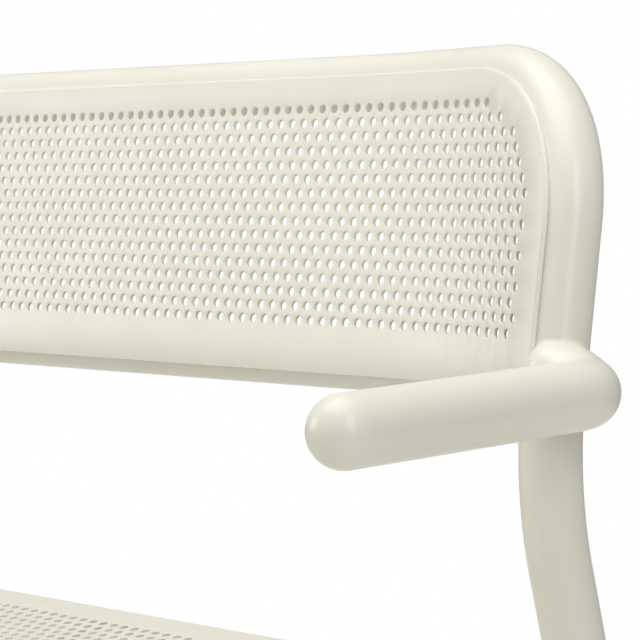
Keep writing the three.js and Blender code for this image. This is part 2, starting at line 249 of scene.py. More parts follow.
def cut_level(mesh, height):
    """Cuts a mesh off flat at a height and closes it there."""
    bm = bmesh.new()
    bm.from_mesh(mesh)
    everything = bm.verts[:] + bm.edges[:] + bm.faces[:]
    cut = bmesh.ops.bisect_plane(
        bm, geom=everything, plane_co=(0, 0, height), plane_no=(0, 0, 1), clear_inner=True
    )
    rim = [e for e in cut["geom_cut"] if isinstance(e, bmesh.types.BMEdge)]
    bmesh.ops.contextual_create(bm, geom=rim)
    bm.to_mesh(mesh)
    bm.free()
    finish_mesh(mesh, math.radians(40))
    return mesh


# ---- The back's surface ----

def plan(s, line):
    """Plan of a line that is straight in the middle and bends forward at its ends."""
    straight, radius = line
    turn = np.maximum(np.abs(s) - straight, 0) / radius
    reach = np.minimum(np.abs(s), straight) + radius * np.sin(turn)
    return np.sign(s) * reach, -radius * (1 - np.cos(turn))


def face_point(s, h):
    """On the back sheet's front: s along it from the middle, h up it from the lower line."""
    upper_x, upper_y = plan(s, UPPER_LINE)
    lower_x, lower_y = plan(s, LOWER_LINE)
    part = h / BACK_HEIGHT
    low = lower_y - BACK_HEIGHT * math.sin(BACK_SLOPE)
    x = lower_x + (upper_x - lower_x) * part
    y = UPPER_LINE_Y + low + (upper_y - low) * part
    z = UPPER_LINE_Z + (h - BACK_HEIGHT) * math.cos(BACK_SLOPE) + 0 * x
    return np.stack([x, y, z], axis=-1)


def back_point(s, h, depth):
    """Behind the back sheet's front by a depth, square to it."""
    s, h = np.asarray(s, float), np.asarray(h, float)
    step = 0.001
    along = face_point(s + step, h) - face_point(s - step, h)
    up = face_point(s, h + step) - face_point(s, h - step)
    backward = unit(np.cross(up, along))
    return face_point(s, h) + backward * np.asarray(depth, float)[..., None]


def upright_at(sign, h):
    return back_point(sign * BACK_HALF, h, SHEET_TO_AXIS)


def upright_at_height(sign, z):
    low, high = upright_at(sign, 0.0), upright_at(sign, CORNER_END_H)
    return low + (high - low) * (z - low[2]) / (high[2] - low[2])


# ---- The seat's surface ----

def seat_point(x, reach, depth):
    """Under the seat sheet's top by a depth: level in front of Y = 0, an arc behind it."""
    x, reach, depth = np.broadcast_arrays(x, np.asarray(reach, float), depth)
    angle = np.maximum(reach, 0) / SEAT_SWEEP_RADIUS
    radius = SEAT_SWEEP_RADIUS + depth
    y = np.minimum(reach, 0) + radius * np.sin(angle)
    z = SEAT_HEIGHT + SEAT_SWEEP_RADIUS - radius * np.cos(angle)
    return np.stack([x, y, z], axis=-1)


# ---- Tube axes ----

def top_rail_axis():
    """Along the top, round both corners and a little way down both uprights."""
    inner = BACK_HALF - BACK_CORNER
    turn = np.radians(np.arange(0, 90.1, 3))
    corner = np.stack([
        inner + BACK_CORNER * np.sin(turn),
        RAIL_TOP_H - BACK_CORNER * (1 - np.cos(turn)),
    ], axis=-1)
    down = np.array([[BACK_HALF, RAIL_TOP_H - BACK_CORNER - CORNER_TAIL]])
    right = np.concatenate([corner, down])
    left = right[::-1] * (-1, 1)
    count = math.ceil(2 * inner / SAMPLE)
    middle = np.linspace(-inner, inner, count + 1)[1:-1]
    middle = np.stack([middle, np.full_like(middle, RAIL_TOP_H)], axis=-1)
    track = np.concatenate([left, middle, right])
    return back_point(track[:, 0], track[:, 1], SHEET_TO_AXIS + 0 * track[:, 0])


def low_rail_axis():
    s = np.linspace(-BACK_HALF, BACK_HALF, math.ceil(2 * BACK_HALF / SAMPLE))
    return back_point(s, -RAIL_LOW_DROP + 0 * s, SHEET_TO_AXIS + 0 * s)


def rear_leg_corners(sign):
    joint = upright_at(sign, CORNER_END_H)
    bend = upright_at_height(sign, UPPER_LINE_Z - LEG_BEND_DROP)
    down = bend[2] + 2 * TUBE_RADIUS
    foot = bend + np.array([0, down * math.tan(REAR_LEG_RAKE), -down])
    return joint, bend, foot


def rear_leg_axis(sign):
    return rounded_path(rear_leg_corners(sign), LEG_BEND_RADIUS)


def leg_x(sign):
    return rear_leg_corners(sign)[1][0]


def rear_leg_y(z):
    _, bend, foot = rear_leg_corners(1)
    return bend[1] + (foot[1] - bend[1]) * (bend[2] - z) / (bend[2] - foot[2])


def front_leg_axis(sign):
    rail_z = SEAT_HEIGHT - SHEET_TO_AXIS
    slope = math.tan(FRONT_LEG_RAKE)
    ends = [(leg_x(sign), FRONT_FOOT_Y + (z - GLIDE_HEIGHT) * slope, z)
            for z in (rail_z, -2 * TUBE_RADIUS)]
    return refined(ends, 0.05)


def under_seat_axis(x, front, rear, depth):
    count = math.ceil((rear - front) / SAMPLE)
    return seat_point(x, np.linspace(front, rear, count + 1), depth)


def side_rail_axis(sign):
    leg_y = rear_leg_y(SEAT_HEIGHT)
    rear = SEAT_SWEEP_RADIUS * math.asin(leg_y / (SEAT_SWEEP_RADIUS + SHEET_TO_AXIS))
    return under_seat_axis(leg_x(sign), SEAT_FRONT_Y + SEAT_CORNER, rear, SHEET_TO_AXIS)


def front_rail_axis():
    x, z, rear = leg_x(1), SEAT_HEIGHT - SHEET_TO_AXIS, SEAT_FRONT_Y + SEAT_CORNER
    corners = [(-x, rear, z), (-x, SEAT_FRONT_Y, z), (x, SEAT_FRONT_Y, z), (x, rear, z)]
    return rounded_path(corners, SEAT_CORNER, 0.004)[1:-1]


def rear_rail_axis():
    ends = seat_point(np.array([leg_x(-1), leg_x(1)]), SEAT_REAR_REACH, SHEET_TO_AXIS)
    return refined(ends, 0.02)


def brace_axis(sign):
    depth = SHEET + GAP + BRACE_RADIUS
    return under_seat_axis(sign * BRACE_X, SEAT_FRONT_Y, SEAT_REAR_REACH, depth)


def arm_axis(sign):
    """From the middle of the front cap's dome, round the elbow, to beside the upright."""
    upright = upright_at_height(sign, UPPER_LINE_Z - ARM_REAR_DROP)
    x = sign * ARM_X
    front = (x, ARM_FRONT_Y, UPPER_LINE_Z - ARM_FRONT_DROP)
    elbow = (x, upright[1], upright[2])
    end = (upright[0] + sign * ARM_END, upright[1], upright[2])
    return rounded_path([front, elbow, end], ARM_ELBOW, 0.0025)


def domed(axis, radius, at_start, at_end, steps=14):
    """An axis and its radii with a half ball at either end."""
    turn = np.linspace(0, math.pi / 2, steps + 1)[1:]
    tangents = tangents_of(axis)
    reach, thin = radius * np.sin(turn), radius * np.maximum(np.cos(turn), 0.004)
    radii = np.full(len(axis), radius)
    if at_start:
        axis = np.concatenate([(axis[0] - tangents[0] * reach[:, None])[::-1], axis])
        radii = np.concatenate([thin[::-1], radii])
    if at_end:
        axis = np.concatenate([axis, axis[-1] + tangents[-1] * reach[:, None]])
        radii = np.concatenate([radii, thin])
    return axis, radii


# ---- Perforated sheets ----

def arc(centre, radius, start, end, step=math.radians(5)):
    """Points on an arc, angles in radians, ends included."""
    count = max(2, math.ceil(abs(end - start) / step))
    angles = np.linspace(start, end, count + 1)
    return np.stack([centre[0] + radius * np.cos(angles), centre[1] + radius * np.sin(angles)], axis=-1)


def rounded_outline(half, low, top, low_radius, top_radius, spacing=0.008):
    """Anticlockwise outline of a sheet whose low and top corners have their own radii."""
    quarter = math.pi / 2
    parts = [
        arc((half - low_radius, low + low_radius), low_radius, -quarter, 0),
        arc((half - top_radius, top - top_radius), top_radius, 0, quarter),
        arc((-half + top_radius, top - top_radius), top_radius, quarter, 2 * quarter),
        arc((-half + low_radius, low + low_radius), low_radius, 2 * quarter, 3 * quarter),
    ]
    loop = np.concatenate(parts)
    spread = refined(np.concatenate([loop, loop[:1]]), spacing)[:-1]
    keep = np.linalg.norm(spread - np.roll(spread, 1, axis=0), axis=1) > 1e-6
    return spread[keep]


def outward_of(loop):
    """Directions in the plane that point out of an anticlockwise loop."""
    along = unit(np.roll(loop, -1, axis=0) - np.roll(loop, 1, axis=0))
    return np.stack([along[:, 1], -along[:, 0]], axis=-1)


def perforated_sheet(name, outline, centres, place, sides, lip):
    """A sheet with round holes. place(points, depth) puts its plane into the object.
    Every edge follows one profile through the thickness, rounded by the lip."""
    profile = [(0.0, 0.0), (0.0, SHEET_DEPTH)]
    if lip:
        profile = [
            (lip, 0.0), (0.3 * lip, 0.3 * lip), (0.0, lip),
            (0.0, SHEET_DEPTH - lip), (lip, SHEET_DEPTH),
        ]
    angles = np.linspace(0, 2 * math.pi, sides, endpoint=False) + math.pi / sides
    circle = np.stack([np.cos(angles), np.sin(angles)], axis=-1)
    count_rim, count_holes = len(outline), len(centres) * sides
    total, base = count_rim + count_holes, (len(profile) - 1) * (count_rim + count_holes)
    outward = outward_of(outline)
    layers, maps = [], []
    for inset, depth in profile:
        rim, radius = outline - outward * inset, HOLE_RADIUS + inset
        layers.append(np.concatenate([rim, (centres[:, None] + circle * radius).reshape(-1, 2)]))
        shrunk = (centres[:, None] + circle * radius * (1 - 0.5 * depth / SHEET_DEPTH)).reshape(-1, 2)
        maps.append(np.concatenate([rim + outward * (2 * depth), shrunk]))
    faces = flat_faces(layers[0], count_rim, len(centres), sides)
    points = np.concatenate([place(layer, depth) for layer, (_, depth) in zip(layers, profile)])
    polygons = [(c, b, a) for a, b, c in faces]
    rings = [np.arange(count_rim)] + list(count_rim + np.arange(count_holes).reshape(-1, sides))
    for level in range(len(profile) - 1):
        for ring in rings:
            ahead = np.roll(ring, -1)
            quads = np.stack([ring, ahead, ahead + total, ring + total], axis=-1) + level * total
            polygons.extend(map(tuple, quads.tolist()))
    rear = [(a + base, b + base, c + base) for a, b, c in faces]
    mesh = bpy.data.meshes.new(name)
    mesh.from_pydata(points.tolist(), [], polygons + rear)
    rise = np.array([0.0, np.ptp(outline[:, 1]) + 8 * SHEET_DEPTH])
    corners = [i for polygon in polygons for i in polygon] + [i + total for face in rear for i in face]
    lay_map(mesh, np.concatenate(maps + [layers[-1] + rise]), corners)
    finish_mesh(mesh, math.radians(60))
    return mesh


def lay_map(mesh, table, corners):
    """A flat map for baking: front face, walls inside their own holes, rear face above."""
    table = table - table.min(axis=0)
    table = 0.01 + table * (0.98 / table.max())
    layer = mesh.uv_layers.new(name="OFBake")
    layer.data.foreach_set("uv", table[corners].ravel())


def flat_faces(layer, count_rim, hole_count, sides):
    """Triangles of the plane between the outline and the holes."""
    loops = [(0, count_rim)]
    loops += [(count_rim + i * sides, sides) for i in range(hole_count)]
    edges = [(start + k, start + (k + 1) % size) for start, size in loops for k in range(size)]
    flat = [Vector(p) for p in layer.tolist()]
    made = geometry.delaunay_2d_cdt(flat, edges, [], 1, 1e-9)
    origin = [ids[0] for ids in made[3]]

    def hole_of(i):
        return -1 if i < count_rim else (i - count_rim) // sides

    faces = []
    for triangle in made[2]:
        corner = [origin[i] for i in triangle]
        holes = {hole_of(i) for i in corner}
        if len(holes) > 1 or holes == {-1}:
            faces.append(corner)
    return faces


def hole_centres(first_row, row_step, rows, half_first, corner, corner_radius):
    """Rows of holes a pitch apart, every other row moved by half a pitch, inside the corners."""
    centres = []
    for row in range(rows):
        h = first_row + row_step * row
        shift = 0.5 if (row % 2 == 0) == half_first else 0.0
        columns = int(HOLE_REACH / PITCH - shift + 1e-6)
        s = (np.arange(-columns, columns + 1) if shift == 0 else np.arange(-columns - 1, columns + 1) + shift)
        s = s * PITCH
        past_s = np.maximum(np.abs(s) - corner[0], 0)
        past_h = max((h - corner[1]) * np.sign(corner_radius), 0)
        inside = (past_h == 0) | (np.hypot(past_s, past_h) <= abs(corner_radius) - HOLE_MARGIN)
        centres.extend((x, h) for x in s[inside & (np.abs(s) <= HOLE_REACH + 1e-6)])
    return np.array(centres)


def back_seam_axis():
    """Along the back sheet's edge, up one end, over the top and down the other."""
    half, top = BACK_HALF + PANEL_END_LAP, BACK_HEIGHT + PANEL_TOP_RISE
    radius = BACK_CORNER + PANEL_END_LAP
    right = arc((half - radius, top - radius), radius, 0, math.pi / 2, math.radians(3))
    low = np.array([[half, -RAIL_LOW_DROP]])
    track = refined(np.concatenate([low, right, right[::-1] * (-1, 1), low * (-1, 1)]), SAMPLE)
    return back_point(track[:, 0], track[:, 1], SHEET + 0 * track[:, 0])


def back_sheet_mesh():
    half, top = BACK_HALF + PANEL_END_LAP, BACK_HEIGHT + PANEL_TOP_RISE
    radius = BACK_CORNER + PANEL_END_LAP
    outline = rounded_outline(half, -PANEL_LOW_DROP, top, 0.004, radius)
    corner = (half - radius, top - radius)
    centres = hole_centres(BACK_HEIGHT, -ROW_PITCH, BACK_ROWS, False, corner, radius)

    def place(points, depth):
        return back_point(points[:, 0], points[:, 1], depth + 0 * points[:, 0])

    return perforated_sheet("back_sheet", outline, centres, place, 12, LIP)


def seat_sheet_mesh():
    half, radius = leg_x(1) + SEAT_LAP, SEAT_CORNER + SEAT_LAP
    front, rear = SEAT_FRONT_Y - SEAT_LAP, SEAT_REAR_REACH + SEAT_LAP
    outline = rounded_outline(half, front, rear, radius, SEAT_REAR_CORNER)
    corner = (half - radius, front + radius)
    first = rear - SEAT_REAR_MARGIN
    centres = hole_centres(first, -ROW_PITCH, SEAT_ROWS, True, corner, -radius)

    def place(points, depth):
        return seat_point(points[:, 0], points[:, 1], depth)

    return perforated_sheet("seat_sheet", outline, centres, place, 10, 0.0)


# ---- Materials ----

def nodes_of(material):
    material.use_nodes = True
    tree = material.node_tree
    tree.nodes.clear()
    return tree


def add_node(tree, kind, **inputs):
    node = tree.nodes.new(kind)
    for name, value in inputs.items():
        node.inputs[name.replace("_", " ")].default_value = value
    return node


def noise(tree, scale, detail=3.0, rough=0.5):
    """Noise in the bench's own coordinates, so that it has a real size."""
    where = tree.nodes.new("ShaderNodeTexCoord")
    made = add_node(tree, "ShaderNodeTexNoise", Scale=scale, Detail=detail, Roughness=rough)
    tree.links.new(where.outputs["Object"], made.inputs["Vector"])
    return made.outputs["Fac"]


def spread_value(tree, value, low, high, from_low=0.3, from_high=0.7):
    ranged = tree.nodes.new("ShaderNodeMapRange")
    ranged.inputs["From Min"].default_value = from_low
    ranged.inputs["From Max"].default_value = from_high
    ranged.inputs["To Min"].default_value = low
    ranged.inputs["To Max"].default_value = high
    tree.links.new(value, ranged.inputs["Value"])
    return ranged.outputs["Result"]


def mixed(tree, factor, first, second):
    made = tree.nodes.new("ShaderNodeMix")
    made.data_type = "RGBA"
    tree.links.new(factor, made.inputs["Factor"])
    for socket, colour in (("A", first), ("B", second)):
        target = [i for i in made.inputs if i.name == socket and i.type == "RGBA"][0]
        if isinstance(colour, tuple):
            target.default_value = (*colour, 1)
        else:
            tree.links.new(colour, target)
    return [o for o in made.outputs if o.type == "RGBA"][0]


def bumped(tree, layers):
    """One normal from several heights, each (height socket, strength, distance)."""
    normal = None
    for height, strength, distance in layers:
        bump = add_node(tree, "ShaderNodeBump", Strength=strength, Distance=distance)
        tree.links.new(height, bump.inputs["Height"])
        if normal is not None:
            tree.links.new(normal, bump.inputs["Normal"])
        normal = bump.outputs["Normal"]
    return normal


def powder_coat(name, pale, deep, rough_low, rough_high):
    """Satin powder coat: a fine orange-peel skin, faint clouding and a few duller patches."""
    material = bpy.data.materials.new(name)
    tree = nodes_of(material)
    shader = add_node(tree, "ShaderNodeBsdfPrincipled")
    shader.inputs["Coat Weight"].default_value = 0.12
    shader.inputs["Coat Roughness"].default_value = 0.3
    shader.inputs["Specular IOR Level"].default_value = 0.5
    cloud = spread_value(tree, noise(tree, 9.0, 4.0), 0.0, 1.0)
    grain = spread_value(tree, noise(tree, 1400.0, 2.0, 0.6), 0.0, 1.0)
    base = mixed(tree, cloud, pale, deep)
    speck = spread_value(tree, grain, 0.0, 0.06, 0.6, 1.0)
    colour = mixed(tree, speck, base, tuple(0.8 * c for c in deep))
    tree.links.new(colour, shader.inputs["Base Color"])
    rough = spread_value(tree, noise(tree, 28.0, 3.0), rough_low, rough_high)
    tree.links.new(rough, shader.inputs["Roughness"])
    normal = bumped(tree, [
        (noise(tree, 520.0, 2.0, 0.45), 0.10, 0.00025),
        (noise(tree, 1400.0, 1.0, 0.5), 0.05, 0.0001),
    ])
    tree.links.new(normal, shader.inputs["Normal"])
    output = tree.nodes.new("ShaderNodeOutputMaterial")
    tree.links.new(shader.outputs["BSDF"], output.inputs["Surface"])
    return material


def glide_plastic():
    """Moulded plastic with a fine spark-eroded grain and paler scuffs underneath."""
    material = bpy.data.materials.new("glide_plastic")
    tree = nodes_of(material)
    shader = add_node(tree, "ShaderNodeBsdfPrincipled")
    worn = spread_value(tree, noise(tree, 220.0, 5.0, 0.6), 0.0, 1.0, 0.45, 0.75)
    colour = mixed(tree, worn, (0.045, 0.045, 0.043), (0.085, 0.083, 0.078))
    tree.links.new(colour, shader.inputs["Base Color"])
    rough = spread_value(tree, noise(tree, 900.0, 2.0), 0.55, 0.8)
    tree.links.new(rough, shader.inputs["Roughness"])
    normal = bumped(tree, [(noise(tree, 2600.0, 2.0, 0.6), 0.25, 0.0001)])
    tree.links.new(normal, shader.inputs["Normal"])
    output = tree.nodes.new("ShaderNodeOutputMaterial")
    tree.links.new(shader.outputs["BSDF"], output.inputs["Surface"])
    return material


# ---- Weld beads ----

def distance_to_line(points, axis):
    """Distance from each point to an open line of straight segments."""
    best = np.full(len(points), np.inf)
    for start, end in zip(axis, axis[1:]):
        along = end - start
        part = np.clip((points - start) @ along / max(along @ along, 1e-18), 0, 1)
        best = np.minimum(best, np.linalg.norm(points - start - part[:, None] * along, axis=1))
    return best


def smooth_union(a, b, blend):
    """Signed distance of two shapes joined with a fillet."""
    share = np.maximum(blend - np.abs(a - b), 0) / blend
    return np.minimum(a, b) - share * share * blend / 4


def near(axis, centre, reach):
    """The stretch of an axis within reach of a point."""
    fine = refined(axis, 0.003)
    inside = np.linalg.norm(fine - centre, axis=1) < reach
    return fine[inside]


def surface_net(field, low, high, step):
    """Mesh of a field's zero level on a regular grid: one vertex in each cell that it crosses."""
    axes = [np.arange(low[k], high[k] + step, step) for k in range(3)]
    grid = np.stack(np.meshgrid(*axes, indexing="ij"), axis=-1)
    value = field(grid.reshape(-1, 3)).reshape(grid.shape[:3])
    total, weight = crossings(grid, value, step)
    used = weight > 0
    index = np.full(used.shape, -1)
    index[used] = np.arange(used.sum())
    return total[used] / weight[used][:, None], net_faces(value < 0, index)


def crossings(grid, value, step):
    """For each cell, the sum and the number of the points where its edges cross the level."""
    shape = value.shape
    total, weight = np.zeros([n - 1 for n in shape] + [3]), np.zeros([n - 1 for n in shape])
    for axis in range(3):
        a, b = [slice(None)] * 3, [slice(None)] * 3
        a[axis], b[axis] = slice(0, -1), slice(1, None)
        first, second = value[tuple(a)], value[tuple(b)]
        crossed = (first < 0) != (second < 0)
        part = np.where(crossed, first / np.where(crossed, first - second, 1), 0)
        point = grid[tuple(a)].copy()
        point[..., axis] += part * step
        others = [k for k in range(3) if k != axis]
        for i in (0, 1):
            for j in (0, 1):
                pick = [slice(None)] * 3
                pick[others[0]] = slice(i, shape[others[0]] - 1 + i)
                pick[others[1]] = slice(j, shape[others[1]] - 1 + j)
                here = crossed[tuple(pick)]
                total += np.where(here[..., None], point[tuple(pick)], 0)
                weight += here
    return total, weight


def net_faces(inside, index):
    """A quad round each grid edge that crosses the level, between its four cells' vertices."""
    faces = []
    for axis in range(3):
        b1, b2 = [(1, 2), (2, 0), (0, 1)][axis]
        a, b = [slice(1, -1)] * 3, [slice(1, -1)] * 3
        a[axis], b[axis] = slice(0, -1), slice(1, None)
        first, second = inside[tuple(a)], inside[tuple(b)]
        for flip in (False, True):
            where = np.argwhere((first & ~second) if not flip else (~first & second))
            where = where + np.array([0 if k == axis else 1 for k in range(3)])
            corner = []
            for d1, d2 in ((0, 0), (1, 0), (1, 1), (0, 1)):
                cell = where.copy()
                cell[:, b1] -= d1
                cell[:, b2] -= d2
                corner.append(index[cell[:, 0], cell[:, 1], cell[:, 2]])
            quad = np.stack(corner if not flip else corner[::-1], axis=-1)
            faces.extend(map(tuple, quad.tolist()))
    return faces


def closed_net(field, centre, reach, step):
    """The net on the first of a few shifted grids that gives every edge just two faces."""
    for shift in (0.37, 0.61, 0.83, 0.19):
        low, high = centre - reach - (2 + shift) * step, centre + reach + 2 * step
        points, faces = surface_net(field, low, high, step)
        loops = np.array(faces)
        edges = np.sort(np.stack([loops, np.roll(loops, -1, axis=1)], axis=-1).reshape(-1, 2), axis=1)
        if (np.unique(edges, axis=0, return_counts=True)[1] == 2).all():
            break
    return points, faces


def settled(points, field, rounds=3):
    """Moves points onto a field's zero level."""
    step = 1e-5
    for _ in range(rounds):
        value = field(points)
        slope = np.stack([(field(points + step * e) - value) / step for e in np.eye(3)], axis=-1)
        move = value / np.maximum((slope * slope).sum(axis=1), 0.2)
        points = points - slope * np.clip(move, -0.001, 0.001)[:, None]
    return points


def meeting_line(branch, branch_radius, main, main_radius, count=48):
    """Where the side of a branch's last stretch comes out of the main tube, as a closed line."""
    branch = near(branch, branch[-1], 5 * branch_radius)
    u, v = frames_along(branch)
    line = []
    for angle in np.linspace(0, 2 * math.pi, count, endpoint=False):
        spoke = u * math.cos(angle) + v * math.sin(angle)
        track = (branch + spoke * branch_radius)[::-1]
        gap = distance_to_line(track, main) - main_radius
        out = int(np.argmax(gap > 0))
        if out == 0:
            line.append(track[0])
            continue
        share = gap[out - 1] / (gap[out - 1] - gap[out])
        line.append(track[out - 1] + (track[out] - track[out - 1]) * share)
    return np.array(line + line[:1])


def welded(name, field, centre, reach, step=WELD_STEP):
    """Mesh of a weld's field inside a ball round its joint. The ball's cuts are inside the tubes."""
    def inside_ball(points):
        return np.maximum(field(points), np.linalg.norm(points - centre, axis=1) - reach)

    points, faces = closed_net(inside_ball, centre, reach, step)
    free = np.linalg.norm(points - centre, axis=1) < reach - 1.5 * step
    points[free] = settled(points[free], field)
    return mesh_of(name, points, faces, math.radians(50))


def bead_mesh(name, branch, branch_radius, main, main_radius):
    """The bead round a joint. It is a hair inside both tubes everywhere but at the joint."""
    line = meeting_line(branch, branch_radius, main, main_radius)
    centre = line[:-1].mean(axis=0)
    reach = np.linalg.norm(line - centre, axis=1).max() + 3 * BEAD_RADIUS
    branch_near, main_near = near(branch, centre, 2 * reach), near(main, centre, 2 * reach)

    def field(points):
        arm = distance_to_line(points, branch_near) - branch_radius + WELD_SUNK
        tube = distance_to_line(points, main_near) - main_radius + WELD_SUNK
        ring = distance_to_line(points, line) - BEAD_RADIUS
        return smooth_union(smooth_union(arm, ring, 2 * BEAD_RADIUS), tube, 1.2 * BEAD_RADIUS)

    return welded(name, field, centre, reach)


def arm_weld_mesh(name, sign):
    """The smooth full weld on the front and top of an arm's joint with its upright."""
    arm_line, leg_line = arm_axis(sign), rear_leg_axis(sign)
    joint = upright_at_height(sign, arm_line[-1][2])
    up = unit(upright_at(sign, CORNER_END_H) - upright_at(sign, 0.0))
    outer = unit(np.array([sign, 0, 0]) - up * (sign * up[0]))
    front = np.cross(up, outer) * -sign
    turn = np.radians(np.linspace(*ARM_WELD_TURN, 12))[:, None]
    lump_line = joint + up * ARM_WELD_RISE
    lump_line = lump_line + (outer * np.cos(turn) + front * np.sin(turn)) * ARM_WELD_OUT
    centre = joint + outer * ARM_WELD_SHIFT + front * ARM_WELD_SHIFT
    reach = ARM_WELD_REACH
    arm_near, leg_near = near(arm_line, centre, 2 * reach), near(leg_line, centre, 2 * reach)

    def field(points):
        arm = distance_to_line(points, arm_near) - ARM_RADIUS + WELD_SUNK
        tube = distance_to_line(points, leg_near) - TUBE_RADIUS + WELD_SUNK
        lump = distance_to_line(points, lump_line) - ARM_WELD_RADIUS
        return smooth_union(smooth_union(arm, lump, ARM_WELD_FILLET), tube, TUBE_FILLET)

    return welded(name, field, centre, reach)


# ---- Building ----

COAT = powder_coat("powder_coat", COAT_PALE, COAT_DEEP, 0.28, 0.37)
# Painted shade: the sheets' coat is the same powder coat in a darker colour, standing in for less light on
# the sheets.
SHEET_COAT_SHADED = powder_coat("powder_coat_sheet", SHEET_SHADED_PALE, SHEET_SHADED_DEEP, 0.38, 0.48)
PLASTIC = glide_plastic()


def tube_piece(name, axis, radius, *nodes):
    return piece(name, sweep(name, axis, radius), COAT, "powder_coat", *nodes)


def glide_mesh(name, x, y):
    """A turned foot: a collar under the tube's end, a fine groove and a round-edged sole."""
    h, r = GLIDE_HEIGHT, TUBE_RADIUS
    profile = [
        (0.0, h), (0.93 * r, h), (0.985 * r, 0.96 * h), (r, 0.86 * h), (r, 0.62 * h),
        (0.985 * r, 0.58 * h), (0.955 * r, 0.56 * h), (0.955 * r, 0.48 * h), (0.975 * r, 0.45 * h),
        (0.97 * r, 0.3 * h), (0.95 * r, 0.12 * h), (0.92 * r, 0.03 * h), (0.88 * r, 0.0),
        (0.5 * r, 0.0), (0.46 * r, 0.06 * h), (0.0, 0.06 * h),
    ]
    sides = 64
    angles = np.linspace(0, 2 * math.pi, sides, endpoint=False)
    ring = np.stack([np.cos(angles), np.sin(angles)], axis=-1)
    inner = profile[1:-1]
    points = [(x, y, h)] + [(x + a * q, y + b * q, z) for q, z in inner for a, b in ring]
    points.append((x, y, profile[-1][1]))
    last = len(points) - 1
    faces = []
    for k in range(sides):
        n = (k + 1) % sides
        faces.append((0, 1 + k, 1 + n))
        for i in range(len(inner) - 1):
            top, low = 1 + i * sides, 1 + (i + 1) * sides
            faces.append((top + k, low + k, low + n, top + n))
        tail = 1 + (len(inner) - 1) * sides
        faces.append((last, tail + n, tail + k))
    return mesh_of(name, points, faces, math.radians(55))


def build_frame():
    tube_piece("top_rail", top_rail_axis(), TUBE_RADIUS, "back_rail_top")
    tube_piece("low_rail", low_rail_axis(), TUBE_RADIUS, "back_rail_low")
    tube_piece("front_rail", front_rail_axis(), TUBE_RADIUS, "seat_rail_front")
    tube_piece("rear_rail", rear_rail_axis(), TUBE_RADIUS, "seat_rail_rear")
    for side, sign in SIDES.items():
        leg = cut_level(sweep(f"rear_leg_tube_{side}", rear_leg_axis(sign), TUBE_RADIUS), GLIDE_HEIGHT)
        piece(f"rear_leg_tube_{side}", leg, COAT, "powder_coat", f"rear_leg_{side}")
        leg = cut_level(sweep(f"front_leg_tube_{side}", front_leg_axis(sign), TUBE_RADIUS), GLIDE_HEIGHT)
        piece(f"front_leg_tube_{side}", leg, COAT, "powder_coat", f"front_leg_{side}")
        tube_piece(f"side_rail_{side}", side_rail_axis(sign), TUBE_RADIUS, f"seat_rail_{side}")
        tube_piece(f"brace_{side}", brace_axis(sign), BRACE_RADIUS, f"seat_brace_{side}")
        for end, y in (("rear", rear_leg_y(GLIDE_HEIGHT)), ("front", FRONT_FOOT_Y)):
            mesh = glide_mesh(f"glide_{end}_{side}_foot", sign * LEG_X, y)
            piece(mesh.name, mesh, PLASTIC, "glide_plastic", f"glide_{end}_{side}")


def build_arms():
    for side, sign in SIDES.items():
        axis = arm_axis(sign)
        tube, radii = domed(axis, ARM_RADIUS, False, True)
        mesh = sweep(f"arm_tube_{side}", tube, radii)
        piece(mesh.name, mesh, COAT, "powder_coat", f"arm_{side}")
        cap, thin = domed(axis[:2], ARM_RADIUS, True, False, 24)
        count = len(cap) - 1
        mesh = sweep(f"arm_end_{side}", cap[:count], thin[:count])
        piece(mesh.name, mesh, COAT, "powder_coat", f"arm_cap_{side}")


def build_sheets():
    piece("back_sheet", back_sheet_mesh(), SHEET_COAT_SHADED, "powder_coat_sheet", "back_panel")
    seam = sweep("back_sheet_seam", back_seam_axis(), SEAM_RADIUS, 16)
    piece("back_sheet_seam", seam, COAT, "powder_coat")
    piece("seat_sheet", seat_sheet_mesh(), SHEET_COAT_SHADED, "powder_coat_sheet", "seat_panel")


def mirrored_piece(made, name):
    """A copy of a weld on the other side of the bench."""
    mesh = made.data.copy()
    mesh.name = name
    mesh.transform(Matrix.Diagonal((-1, 1, 1, 1)))
    mesh.flip_normals()
    piece(name, mesh, COAT, "powder_coat")


def build_welds():
    """Welds of the right half and their mirror images: (name, branch, its radius, main tube)."""
    leg, side_rail, rear_rail = rear_leg_axis(1), side_rail_axis(1), rear_rail_axis()
    joints = [
        ("weld_low_rail", low_rail_axis(), TUBE_RADIUS, leg),
        ("weld_side_rail", side_rail, TUBE_RADIUS, leg),
        ("weld_rear_rail", rear_rail, TUBE_RADIUS, side_rail),
        ("weld_front_leg", front_leg_axis(1)[::-1], TUBE_RADIUS, side_rail),
        ("weld_brace_front", brace_axis(1)[::-1], BRACE_RADIUS, front_rail_axis()),
        ("weld_brace_rear", brace_axis(1), BRACE_RADIUS, rear_rail),
    ]
    meshes = {"weld_arm": arm_weld_mesh("weld_arm_right", 1)}
    for name, branch, radius, main in joints:
        meshes[name] = bead_mesh(f"{name}_right", branch, radius, main, TUBE_RADIUS)
    for name, mesh in meshes.items():
        mirrored_piece(piece(f"{name}_right", mesh, COAT, "powder_coat"), f"{name}_left")


def look_at(made, target):
    direction = Vector(target) - made.location
    made.rotation_euler = direction.to_track_quat("-Z", "Y").to_euler()


def area_light(name, place, target, size, power):
    data = bpy.data.lights.new(name, "AREA")
    data.shape = "RECTANGLE"
    data.size, data.size_y = size
    data.energy = power
    made = bpy.data.objects.new(name, data)
    bpy.context.scene.collection.objects.link(made)
    made.location = place
    look_at(made, target)


